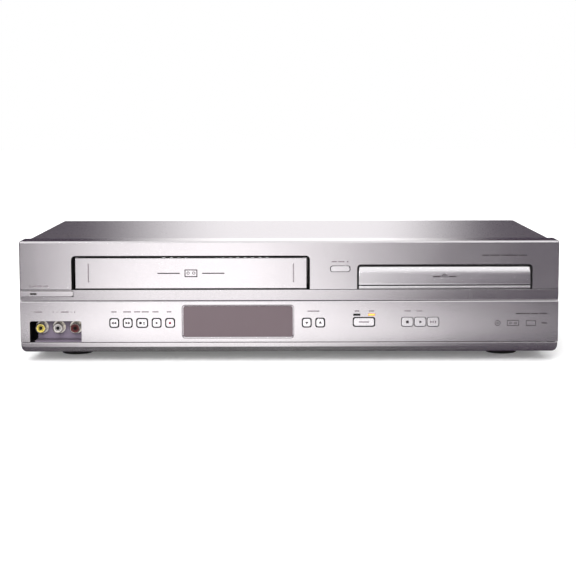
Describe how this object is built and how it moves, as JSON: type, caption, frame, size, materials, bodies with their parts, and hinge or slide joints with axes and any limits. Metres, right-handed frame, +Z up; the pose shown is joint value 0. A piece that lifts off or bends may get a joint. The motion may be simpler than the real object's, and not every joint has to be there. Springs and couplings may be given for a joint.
{
  "type": "disc and video cassette player",
  "caption": "Table-top player with a video cassette slot behind a spring door, a motorised disc tray, keys, a display window and front sockets.",
  "frame": {"origin": "middle of the bounding box, on the table", "axes": "+X to the viewer's right along the front, +Y to the back, +Z up; the front faces -Y"},
  "size_m": [0.435, 0.2354, 0.0995],
  "materials": {
    "silver_plastic": "metallic silver paint, satin",
    "silver_key": "metallic silver paint, satin",
    "black_plastic": "fine grain",
    "tinted_window": "smoked acrylic",
    "lamp_plastic": "clear light pipe",
    "cover_paint": "silver grey paint, satin",
    "zinc_steel": "zinc plated sheet",
    "chassis_steel": "zinc plated sheet",
    "rubber": "matt",
    "nickel": "nickel plate",
    "yellow_plastic": "moulded",
    "white_plastic": "moulded",
    "red_plastic": "moulded",
    "circuit_board": "laminate",
    "component_black": "moulded and wound parts",
    "gear_plastic": "acetal",
    "tray_plastic": "fine grain",
    "drum_aluminium": "diamond turned",
    "shaft_steel": "ground",
    "motor_steel": "plated"
  },
  "bodies": {
    "case": {"upper_fascia": "silver_plastic", "control_panel": "silver_plastic", "bottom_trim": "silver_plastic", "tape_slot_frame": "black_plastic", "display_window": "tinted_window", "indicator_lenses": "lamp_plastic", "front_jack_shells": "nickel", "front_jack_yellow": "yellow_plastic", "front_jack_white": "white_plastic", "front_jack_red": "red_plastic", "front_board": "circuit_board", "top_cover": "cover_paint", "chassis_base": "chassis_steel", "rear_panel": "zinc_steel", "feet": "rubber", "cover_screws": "shaft_steel", "rear_jacks": "component_black", "tuner_module": "zinc_steel", "power_inlet": "component_black", "main_board": "circuit_board", "power_supply_parts": "component_black", "loader_frame": "black_plastic", "tray_motor": "motor_steel", "deck_plate": "chassis_steel", "drum_base": "drum_aluminium", "tape_heads": "motor_steel", "loading_motor": "motor_steel"},
    "tape_flap": {"tape_door": "silver_plastic", "tape_door_spring": "shaft_steel"},
    "disc_drawer": {"disc_tray": "tray_plastic", "tray_door": "silver_plastic"},
    "tray_gear": {"tray_gear": "gear_plastic"},
    "motor_pinion": {"motor_pinion": "gear_plastic"},
    "traverse": {"traverse": "black_plastic"},
    "turntable": {"turntable": "black_plastic"},
    "optical_pickup": {"optical_pickup": "component_black"},
    "clamper": {"clamper": "black_plastic"},
    "head_drum": {"head_drum": "drum_aluminium"},
    "capstan": {"capstan": "shaft_steel"},
    "pinch_arm": {"pinch_arm": "zinc_steel"},
    "pinch_roller": {"pinch_roller": "rubber"},
    "supply_reel": {"supply_reel": "gear_plastic"},
    "takeup_reel": {"takeup_reel": "gear_plastic"},
    "cassette_slider": {"cassette_slider": "zinc_steel"},
    "cassette_holder": {"cassette_holder": "zinc_steel"},
    "supply_guide": {"supply_guide": "shaft_steel"},
    "takeup_guide": {"takeup_guide": "shaft_steel"},
    "power_button": {"power_button": "silver_key"},
    "tray_button": {"tray_button": "silver_key"},
    "rewind_button": {"rewind_button": "silver_key"},
    "forward_button": {"forward_button": "silver_key"},
    "tape_stop_button": {"tape_stop_button": "silver_key"},
    "tape_play_button": {"tape_play_button": "silver_key"},
    "record_button": {"record_button": "silver_key"},
    "channel_down_button": {"channel_down_button": "silver_key"},
    "channel_up_button": {"channel_up_button": "silver_key"},
    "source_button": {"source_button": "silver_key"},
    "disc_stop_button": {"disc_stop_button": "silver_key"},
    "disc_play_button": {"disc_play_button": "silver_key"},
    "dubbing_button": {"dubbing_button": "silver_key"}
  },
  "joints": [
    {"name": "tape_door_swing", "type": "hinge", "parent": "case", "child": "tape_flap", "pos_m": [-0.07915, -0.11215, 0.09098], "axis": [1, 0, 0], "range_deg": [0, 90], "stiffness_Nm_per_rad": 0.003, "springref_deg": -34.38},
    {"name": "disc_tray_slide", "type": "slide", "parent": "case", "child": "disc_drawer", "axis": [0, -1, 0], "range_m": [0, 0.14]},
    {"name": "tray_gear_spin", "type": "hinge", "parent": "case", "child": "tray_gear", "pos_m": [0.0792, -0.09115, 0.0627], "axis": [0, 0, 1], "range_deg": [0, 804]},
    {"name": "motor_pinion_spin", "type": "hinge", "parent": "case", "child": "motor_pinion", "pos_m": [0.1, -0.09115, 0.0627], "axis": [0, 0, 1], "range_deg": [-1806, 0]},
    {"name": "traverse_tilt", "type": "hinge", "parent": "case", "child": "traverse", "pos_m": [0.12545, 0.02885, 0.057], "axis": [1, 0, 0], "range_deg": [0, 5]},
    {"name": "turntable_spin", "type": "hinge", "parent": "traverse", "child": "turntable", "pos_m": [0.12545, -0.04715, 0.0702], "axis": [0, 0, 1], "continuous": true},
    {"name": "clamper_spin", "type": "hinge", "parent": "case", "child": "clamper", "pos_m": [0.12545, -0.04715, 0.076], "axis": [0, 0, 1], "continuous": true},
    {"name": "pickup_slide", "type": "slide", "parent": "traverse", "child": "optical_pickup", "axis": [0, 1, 0], "range_m": [0, 0.033]},
    {"name": "power_press", "type": "slide", "parent": "case", "child": "power_button", "axis": [0, 1, 0], "range_m": [0, 0.0006], "stiffness_N_per_m": 1500, "springref_m": -0.0003},
    {"name": "tray_press", "type": "slide", "parent": "case", "child": "tray_button", "axis": [0, 1, 0], "range_m": [0, 0.0006], "stiffness_N_per_m": 1500, "springref_m": -0.0003},
    {"name": "rewind_press", "type": "slide", "parent": "case", "child": "rewind_button", "axis": [0, 1, 0], "range_m": [0, 0.0006], "stiffness_N_per_m": 1500, "springref_m": -0.0003},
    {"name": "forward_press", "type": "slide", "parent": "case", "child": "forward_button", "axis": [0, 1, 0], "range_m": [0, 0.0006], "stiffness_N_per_m": 1500, "springref_m": -0.0003},
    {"name": "tape_stop_press", "type": "slide", "parent": "case", "child": "tape_stop_button", "axis": [0, 1, 0], "range_m": [0, 0.0006], "stiffness_N_per_m": 1500, "springref_m": -0.0003},
    {"name": "tape_play_press", "type": "slide", "parent": "case", "child": "tape_play_button", "axis": [0, 1, 0], "range_m": [0, 0.0006], "stiffness_N_per_m": 1500, "springref_m": -0.0003},
    {"name": "record_press", "type": "slide", "parent": "case", "child": "record_button", "axis": [0, 1, 0], "range_m": [0, 0.0006], "stiffness_N_per_m": 1500, "springref_m": -0.0003},
    {"name": "channel_down_press", "type": "slide", "parent": "case", "child": "channel_down_button", "axis": [0, 1, 0], "range_m": [0, 0.0006], "stiffness_N_per_m": 1500, "springref_m": -0.0003},
    {"name": "channel_up_press", "type": "slide", "parent": "case", "child": "channel_up_button", "axis": [0, 1, 0], "range_m": [0, 0.0006], "stiffness_N_per_m": 1500, "springref_m": -0.0003},
    {"name": "source_press", "type": "slide", "parent": "case", "child": "source_button", "axis": [0, 1, 0], "range_m": [0, 0.0006], "stiffness_N_per_m": 1500, "springref_m": -0.0003},
    {"name": "disc_stop_press", "type": "slide", "parent": "case", "child": "disc_stop_button", "axis": [0, 1, 0], "range_m": [0, 0.0006], "stiffness_N_per_m": 1500, "springref_m": -0.0003},
    {"name": "disc_play_press", "type": "slide", "parent": "case", "child": "disc_play_button", "axis": [0, 1, 0], "range_m": [0, 0.0006], "stiffness_N_per_m": 1500, "springref_m": -0.0003},
    {"name": "dubbing_press", "type": "slide", "parent": "case", "child": "dubbing_button", "axis": [0, 1, 0], "range_m": [0, 0.0006], "stiffness_N_per_m": 1500, "springref_m": -0.0003},
    {"name": "head_drum_spin", "type": "hinge", "parent": "case", "child": "head_drum", "pos_m": [-0.07915, 0.06885, 0.036], "axis": [0, -0.0872, 0.9962], "continuous": true},
    {"name": "capstan_spin", "type": "hinge", "parent": "case", "child": "capstan", "pos_m": [-0.01115, 0.04085, 0.03], "axis": [0, 0, 1], "continuous": true},
    {"name": "pinch_arm_swing", "type": "hinge", "parent": "case", "child": "pinch_arm", "pos_m": [0.01085, 0.0484, 0.042], "axis": [0, 0, 1], "range_deg": [0, 40]},
    {"name": "pinch_roller_spin", "type": "hinge", "parent": "pinch_arm", "child": "pinch_roller", "pos_m": [-0.00601, 0.06254, 0.047], "axis": [0, 0, 1], "continuous": true},
    {"name": "supply_reel_spin", "type": "hinge", "parent": "case", "child": "supply_reel", "pos_m": [-0.1259, -0.02815, 0.031], "axis": [0, 0, 1], "continuous": true},
    {"name": "takeup_reel_spin", "type": "hinge", "parent": "case", "child": "takeup_reel", "pos_m": [-0.0324, -0.02815, 0.031], "axis": [0, 0, 1], "continuous": true},
    {"name": "cassette_draw_in", "type": "slide", "parent": "case", "child": "cassette_slider", "axis": [0, 1, 0], "range_m": [0, 0.06]},
    {"name": "cassette_lower", "type": "slide", "parent": "cassette_slider", "child": "cassette_holder", "axis": [0, 0, -1], "range_m": [0, 0.022]},
    {"name": "supply_guide_slide", "type": "slide", "parent": "case", "child": "supply_guide", "axis": [-0.368, 0.9298, 0], "range_m": [0, 0.05162]},
    {"name": "takeup_guide_slide", "type": "slide", "parent": "case", "child": "takeup_guide", "axis": [0.368, 0.9298, 0], "range_m": [0, 0.05162]}
  ],
  "couplings": [
    {"joint": "tray_gear_spin", "follows": "disc_tray_slide", "rad_per_m": 100},
    {"joint": "motor_pinion_spin", "follows": "disc_tray_slide", "rad_per_m": -225},
    {"joint": "clamper_spin", "follows": "turntable_spin", "ratio": 1},
    {"joint": "takeup_guide_slide", "follows": "supply_guide_slide", "ratio": 1}
  ]
}
